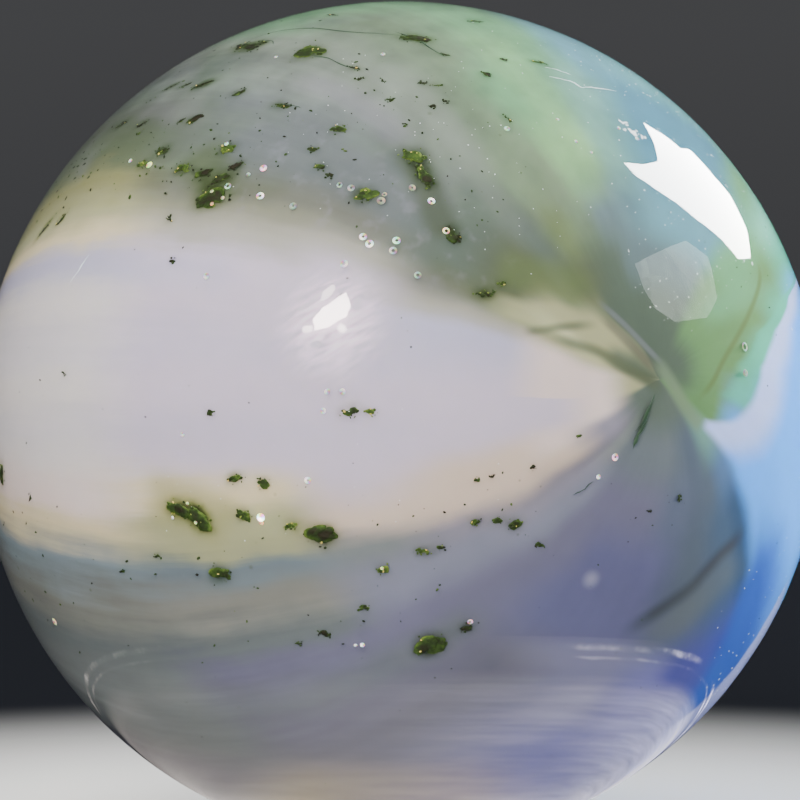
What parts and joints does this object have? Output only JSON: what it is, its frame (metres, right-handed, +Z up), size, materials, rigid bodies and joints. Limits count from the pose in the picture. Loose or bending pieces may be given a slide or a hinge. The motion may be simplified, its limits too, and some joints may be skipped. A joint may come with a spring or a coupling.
{
  "type": "glass marble",
  "caption": "Solid glass ball for play or display, milky white with green and blue swirls and glittering dark green flecks.",
  "frame": {"origin": "centre of the ball", "axes": "+Z up through the ball's centre, and the side with the milky white tongue faces -Y"},
  "size_m": [0.016, 0.016, 0.016],
  "materials": {
    "swirled_glass": "fire-polished gloss"
  },
  "bodies": {
    "root": {"marble": "swirled_glass"}
  },
  "joints": []
}
